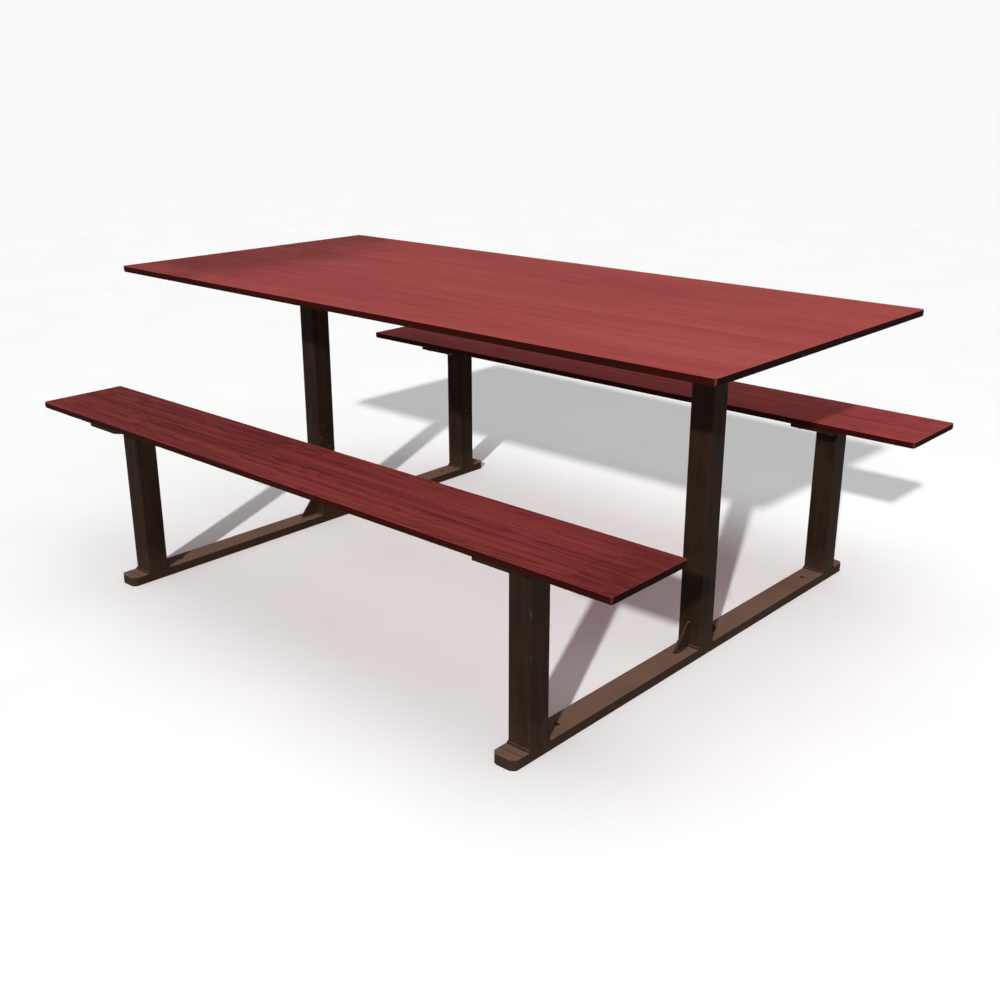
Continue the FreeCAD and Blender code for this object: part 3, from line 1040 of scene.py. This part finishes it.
class PICNIC_OT_spatter(bpy.types.Operator):
    """Scatter drops of weld spatter above the foot beads"""

    bl_idname = "picnic.spatter"
    bl_label = "Scatter Spatter"

    def execute(self, context):
        welds = context.scene.picnic_welds
        rng = np.random.default_rng(welds.seed + 2)
        if welds.spatter_count:
            for post in POSTS:
                build("spatter_" + post, spatter(post, welds, rng), weld_paint())
        return {"FINISHED"}


class PICNIC_OT_stage(bpy.types.Operator):
    """Lay the floor, hang the lamps and set the camera"""

    bl_idname = "picnic.stage"
    bl_label = "Set the Stage"

    def execute(self, context):
        studio = context.scene.picnic_studio
        make_floor(studio)
        make_backdrop(studio)
        make_lamps(studio)
        make_camera(studio)
        return {"FINISHED"}


def make_floor(studio):
    """A wide square floor that the table stands on."""
    half = FLOOR_HALF
    corners = [(-half, -half, 0), (half, -half, 0), (half, half, 0), (-half, half, 0)]
    mesh = bpy.data.meshes.new("floor")
    mesh.from_pydata(corners, [], [(0, 1, 2, 3)])
    mesh.materials.append(studio_floor_material(studio.floor_colour))
    floor = bpy.data.objects.new("floor", mesh)
    bpy.context.scene.collection.objects.link(floor)


def make_backdrop(studio):
    """An even world: pale behind the table, dimmer as a fill light."""
    world = bpy.data.worlds.new("Studio")
    world.use_nodes = True
    world.node_tree.nodes.clear()
    graph = Graph(world.node_tree)
    seen = graph.add("ShaderNodeLightPath").outputs["Is Camera Ray"]
    strength = graph.mean(studio.fill, studio.backdrop, seen)
    light = graph.add("ShaderNodeBackground", {"Strength": strength})
    light.inputs["Color"].default_value = (1.0, 1.0, 1.0, 1.0)
    leave = graph.add("ShaderNodeOutputWorld")
    graph.feed(leave.inputs["Surface"], light.outputs[0])
    bpy.context.scene.world = world


def sun(name, strength, softness, travel):
    """A far lamp whose light travels along one direction."""
    data = bpy.data.lights.new(name, "SUN")
    data.energy = strength
    data.angle = softness
    lamp = bpy.data.objects.new(name, data)
    lamp.rotation_euler = Vector(travel).to_track_quat("-Z", "Y").to_euler()
    bpy.context.scene.collection.objects.link(lamp)
    return lamp


def make_lamps(studio):
    """A key from the front right, a wide soft light from above and a soft panel over the right end.

    The panel hangs half a metre past the tabletop's end and 1.6 m above it.
    """
    slope = studio.key_slope
    sun("key", studio.key_strength, studio.key_softness, (slope[0], slope[1], -1.0))
    sun("overhead", studio.overhead_strength, studio.overhead_softness, (0.0, 0.0, -1.0))
    data = bpy.data.lights.new("side_panel", "AREA")
    data.shape = "SQUARE"
    data.size = SIDE_PANEL_SIZE
    data.energy = studio.side_power
    panel = bpy.data.objects.new("side_panel", data)
    panel.location = (CAD_HIGH.x + 0.5, -0.4, CAD_HIGH.z + 1.6)
    bpy.context.scene.collection.objects.link(panel)


def make_camera(studio):
    """The camera, turned up from straight down and then about Z."""
    data = bpy.data.cameras.new("camera")
    data.sensor_width = 36.0
    data.lens = studio.lens
    camera = bpy.data.objects.new("camera", data)
    camera.location = studio.camera_place
    camera.rotation_euler = (math.pi / 2 - studio.camera_pitch, 0.0, studio.camera_yaw)
    scene = bpy.context.scene
    scene.collection.objects.link(camera)
    scene.camera = camera
    scene.view_settings.view_transform = "Standard"


class PICNIC_PT_panel(bpy.types.Panel):
    """Lists the operators and their settings"""

    bl_idname = "PICNIC_PT_panel"
    bl_label = "Picnic Table"
    bl_space_type = "VIEW_3D"
    bl_region_type = "UI"
    bl_category = "Picnic Table"

    def draw(self, context):
        layout = self.layout
        for operator in OPERATORS:
            layout.operator(operator.bl_idname)
        for name, group in GROUPS.items():
            box = layout.box()
            box.label(text=group.__doc__)
            for title in group.__annotations__:
                box.prop(getattr(context.scene, name), title)


GROUPS = {
    "picnic_timber": PicnicTimber,
    "picnic_steel": PicnicSteel,
    "picnic_welds": PicnicWelds,
    "picnic_studio": PicnicStudio,
}
OPERATORS = (
    PICNIC_OT_timber,
    PICNIC_OT_steelwork,
    PICNIC_OT_fastenings,
    PICNIC_OT_post_beads,
    PICNIC_OT_gusset_beads,
    PICNIC_OT_rail_seams,
    PICNIC_OT_spatter,
    PICNIC_OT_stage,
)
CLASSES = tuple(GROUPS.values()) + OPERATORS + (PICNIC_PT_panel,)


def register():
    """Registers the classes and gives every scene the settings."""
    for one in CLASSES:
        bpy.utils.register_class(one)
    for name, group in GROUPS.items():
        setattr(bpy.types.Scene, name, bpy.props.PointerProperty(type=group))


def unregister():
    """Takes the settings and the classes away again."""
    for name in GROUPS:
        delattr(bpy.types.Scene, name)
    for one in reversed(CLASSES):
        bpy.utils.unregister_class(one)


def main():
    """Registers the add-on and makes every piece and the stage."""
    register()
    bpy.ops.picnic.timber()
    bpy.ops.picnic.steelwork()
    bpy.ops.picnic.fastenings()
    bpy.ops.picnic.post_beads()
    bpy.ops.picnic.gusset_beads()
    bpy.ops.picnic.rail_seams()
    bpy.ops.picnic.spatter()
    bpy.ops.picnic.stage()


if __name__ == "__main__":
    main()
